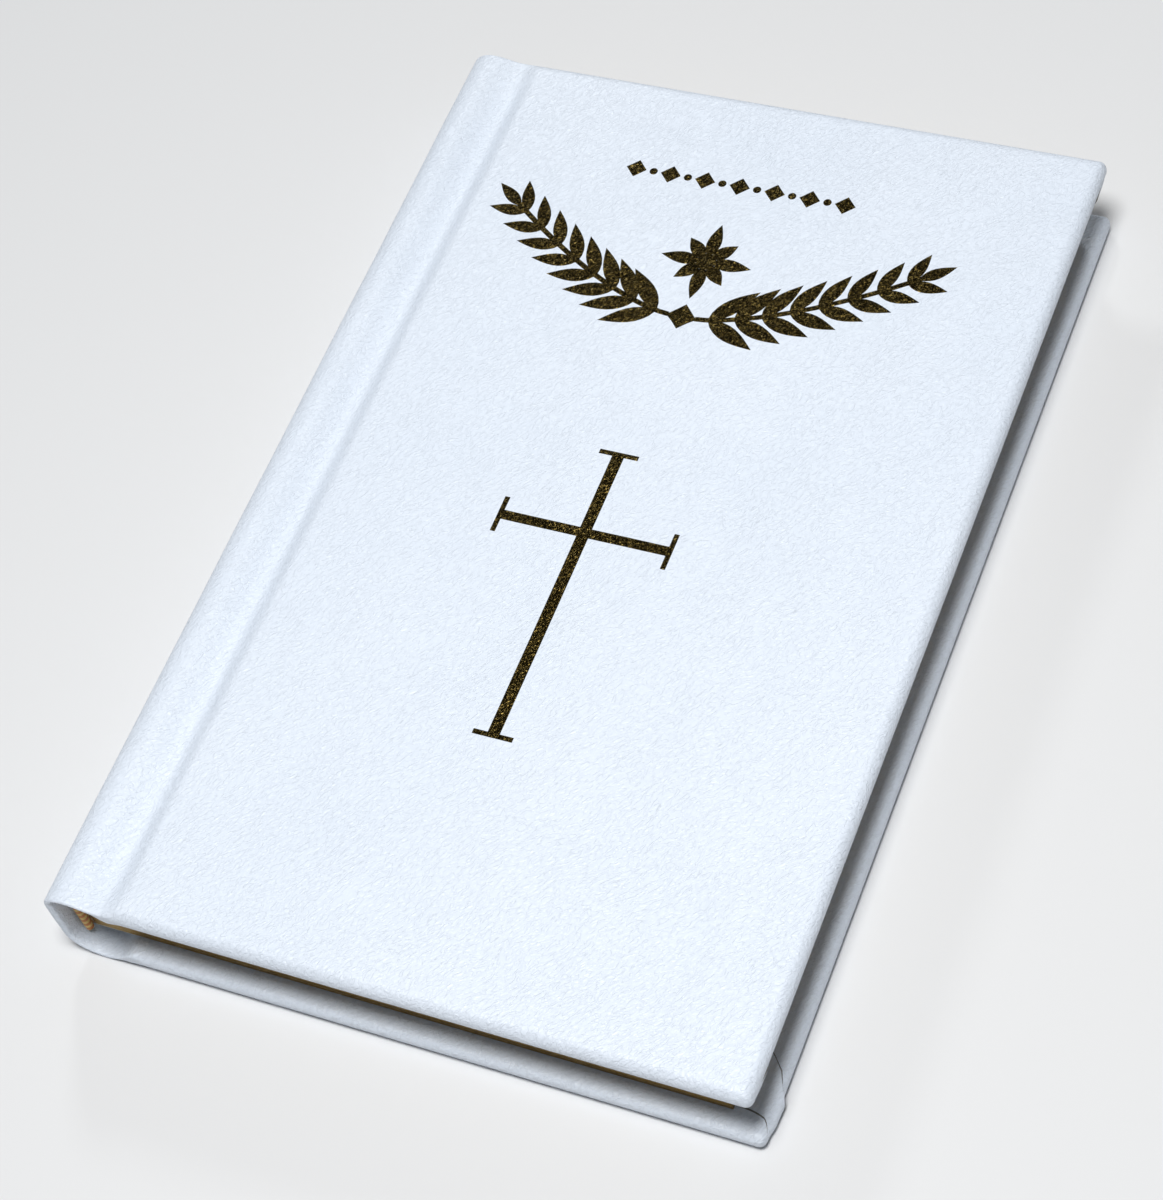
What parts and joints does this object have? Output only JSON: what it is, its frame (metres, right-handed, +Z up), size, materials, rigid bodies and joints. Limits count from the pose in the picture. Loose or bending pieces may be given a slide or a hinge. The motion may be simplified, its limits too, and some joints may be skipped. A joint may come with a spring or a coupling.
{
  "type": "padded hardcover bible",
  "caption": "Slim white bible in padded grained leatherette with blocked gold cross and ornament, gilt sewn sections, hollow spine, and covers and leaves that open.",
  "frame": {"origin": "centre of the rectangle that the closed book covers, at the height of the surface it lies on", "axes": "+X from the spine to the fore edge, +Y from the foot to the head of the cover, +Z up out of the front cover"},
  "size_m": [0.148, 0.223, 0.0229],
  "materials": {
    "white_leather": "satin",
    "spine_leather": "satin",
    "grey_board": "matte",
    "padding": "matte",
    "endpaper": "matte",
    "mull": "matte",
    "kraft": "matte",
    "gilt_leaves": "matte",
    "band_cloth": "matte",
    "thread": "matte",
    "gold_foil": "gloss"
  },
  "bodies": {
    "text_block": {"spine_leather": "spine_leather", "spine_inlay": "grey_board", "spine_mull": "mull", "spine_lining": "kraft", "head_band": "band_cloth", "tail_band": "band_cloth", "sewing_thread": "thread", "front_joint_leather": "white_leather", "back_joint_leather": "white_leather", "front_hinge_paper": "endpaper", "back_hinge_paper": "endpaper", "back_flyleaf": "endpaper", "section_11": "gilt_leaves", "section_12": "gilt_leaves", "section_13": "gilt_leaves", "section_14": "gilt_leaves", "section_15": "gilt_leaves"},
    "front_cover": {"front_leather": "white_leather", "front_board": "grey_board", "front_foam": "padding", "front_pastedown": "endpaper", "front_mull": "mull", "foil_cross": "gold_foil", "foil_ornament": "gold_foil", "foil_row": "gold_foil"},
    "back_cover": {"back_leather": "white_leather", "back_board": "grey_board", "back_foam": "padding", "back_pastedown": "endpaper", "back_mull": "mull"},
    "front_leaf": {"front_flyleaf": "endpaper"},
    "leaves_01": {"section_01": "gilt_leaves"},
    "leaves_02": {"section_02": "gilt_leaves"},
    "leaves_03": {"section_03": "gilt_leaves"},
    "leaves_04": {"section_04": "gilt_leaves"},
    "leaves_05": {"section_05": "gilt_leaves"},
    "leaves_06": {"section_06": "gilt_leaves"},
    "leaves_07": {"section_07": "gilt_leaves"},
    "leaves_08": {"section_08": "gilt_leaves"},
    "leaves_09": {"section_09": "gilt_leaves"},
    "leaves_10": {"section_10": "gilt_leaves"}
  },
  "joints": [
    {"name": "front_cover_hinge", "type": "hinge", "parent": "text_block", "child": "front_cover", "pos_m": [-0.0695, 0, 0.0205], "axis": [0, -1, 0], "range_deg": [0, 179.5], "deforming": ["front_joint_leather", "front_hinge_paper"]},
    {"name": "back_cover_hinge", "type": "hinge", "parent": "text_block", "child": "back_cover", "pos_m": [-0.0695, 0, 0.0024], "axis": [0, 1, 0], "range_deg": [0, 179.5], "deforming": ["back_joint_leather", "back_hinge_paper"]},
    {"name": "front_leaf_turn", "type": "hinge", "parent": "text_block", "child": "front_leaf", "pos_m": [-0.0695, 0, 0.0205], "axis": [0, -1, 0], "range_deg": [0, 178.3]},
    {"name": "leaves_01_turn", "type": "hinge", "parent": "text_block", "child": "leaves_01", "pos_m": [-0.0695, 0, 0.0205], "axis": [0, -1, 0], "range_deg": [0, 176.1]},
    {"name": "leaves_02_turn", "type": "hinge", "parent": "text_block", "child": "leaves_02", "pos_m": [-0.0695, 0, 0.0205], "axis": [0, -1, 0], "range_deg": [0, 174.7]},
    {"name": "leaves_03_turn", "type": "hinge", "parent": "text_block", "child": "leaves_03", "pos_m": [-0.0695, 0, 0.0205], "axis": [0, -1, 0], "range_deg": [0, 173.2]},
    {"name": "leaves_04_turn", "type": "hinge", "parent": "text_block", "child": "leaves_04", "pos_m": [-0.0695, 0, 0.0205], "axis": [0, -1, 0], "range_deg": [0, 171.2]},
    {"name": "leaves_05_turn", "type": "hinge", "parent": "text_block", "child": "leaves_05", "pos_m": [-0.0695, 0, 0.0205], "axis": [0, -1, 0], "range_deg": [0, 168.8]},
    {"name": "leaves_06_turn", "type": "hinge", "parent": "text_block", "child": "leaves_06", "pos_m": [-0.0695, 0, 0.0205], "axis": [0, -1, 0], "range_deg": [0, 165.4]},
    {"name": "leaves_07_turn", "type": "hinge", "parent": "text_block", "child": "leaves_07", "pos_m": [-0.0695, 0, 0.0205], "axis": [0, -1, 0], "range_deg": [0, 159.5]},
    {"name": "leaves_08_turn", "type": "hinge", "parent": "text_block", "child": "leaves_08", "pos_m": [-0.0695, 0, 0.0205], "axis": [0, -1, 0], "range_deg": [0, 22]},
    {"name": "leaves_09_turn", "type": "hinge", "parent": "text_block", "child": "leaves_09", "pos_m": [-0.0695, 0, 0.0205], "axis": [0, -1, 0], "range_deg": [0, 10.3]},
    {"name": "leaves_10_turn", "type": "hinge", "parent": "text_block", "child": "leaves_10", "pos_m": [-0.0695, 0, 0.0205], "axis": [0, -1, 0], "range_deg": [0, 4.4]}
  ],
  "couplings": [
    {"joint": "front_leaf_turn", "follows": "front_cover_hinge", "ratio": 0.99076},
    {"joint": "leaves_01_turn", "follows": "front_cover_hinge", "ratio": 0.97826},
    {"joint": "leaves_02_turn", "follows": "front_cover_hinge", "ratio": 0.97065},
    {"joint": "leaves_03_turn", "follows": "front_cover_hinge", "ratio": 0.96196},
    {"joint": "leaves_04_turn", "follows": "front_cover_hinge", "ratio": 0.95109},
    {"joint": "leaves_05_turn", "follows": "front_cover_hinge", "ratio": 0.9375},
    {"joint": "leaves_06_turn", "follows": "front_cover_hinge", "ratio": 0.91848},
    {"joint": "leaves_07_turn", "follows": "front_cover_hinge", "ratio": 0.88587},
    {"joint": "leaves_08_turn", "follows": "front_cover_hinge", "ratio": 0.11957},
    {"joint": "leaves_09_turn", "follows": "front_cover_hinge", "ratio": 0.05435},
    {"joint": "leaves_10_turn", "follows": "front_cover_hinge", "ratio": 0.02174}
  ]
}
